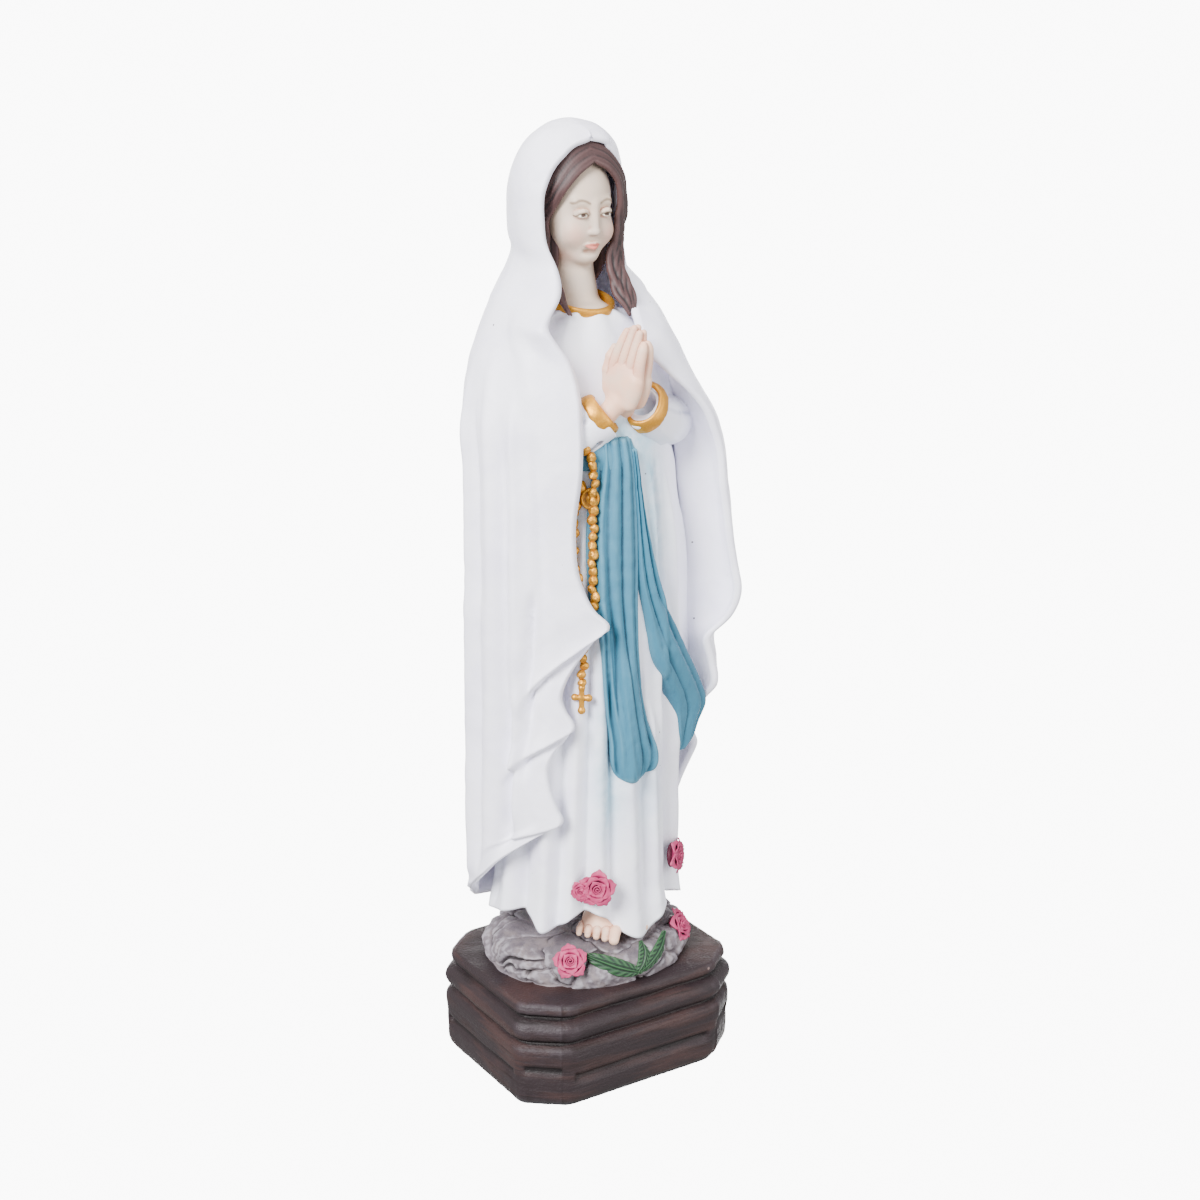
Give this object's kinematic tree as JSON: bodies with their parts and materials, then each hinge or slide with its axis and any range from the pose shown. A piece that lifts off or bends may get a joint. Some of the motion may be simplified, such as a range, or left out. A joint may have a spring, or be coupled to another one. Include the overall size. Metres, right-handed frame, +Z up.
{
  "type": "madonna statue",
  "caption": "Standing robed devotional figure with praying hands, hooded mantle, sash and rosary, on a rock mound and a moulded eight-sided plinth.",
  "frame": {"origin": "middle of the flat face that the statue rests on, under the felt sheet", "axes": "+Z up through the head, the figure faces -Y, +X to her left hand"},
  "size_m": [0.0866, 0.0696, 0.3],
  "materials": {
    "felt_sheet": "cut felt",
    "plinth_paint": "brushed wood-effect paint over cast resin, satin",
    "rock_paint": "grey wash over cast resin, matt",
    "gown_paint": "white paint with pale blue airbrush in the folds, satin",
    "mantle_paint": "cool white paint over cast resin, satin",
    "skin_paint": "flesh paint with airbrushed blush, satin",
    "hair_paint": "dark brown paint, satin",
    "gilt": "gold paint, semi-gloss metallic",
    "sash_paint": "teal blue paint, satin",
    "rose_paint": "pink paint with darker lines, satin",
    "leaf_paint": "dark green paint, satin"
  },
  "bodies": {
    "root": {"felt_pad": "felt_sheet", "plinth": "plinth_paint", "rock_mound": "rock_paint", "gown": "gown_paint", "mantle": "mantle_paint", "head": "skin_paint", "hair": "hair_paint", "neck_collar": "gilt", "right_hand": "skin_paint", "left_hand": "skin_paint", "right_sleeve": "gown_paint", "left_sleeve": "gown_paint", "right_cuff": "gilt", "left_cuff": "gilt", "sash_belt": "sash_paint", "sash_long_tail": "sash_paint", "sash_side_tail": "sash_paint", "rosary_near_strand": "gilt", "rosary_far_strand": "gilt", "rosary_medal": "gilt", "rosary_drop": "gilt", "rosary_cross": "gilt", "right_foot": "skin_paint", "left_foot": "skin_paint", "rose_right_foot": "rose_paint", "rose_left_foot": "rose_paint", "rose_mound_front": "rose_paint", "rose_mound_side": "rose_paint", "leaf_long": "leaf_paint", "leaf_upright": "leaf_paint", "leaf_side": "leaf_paint"}
  },
  "joints": []
}
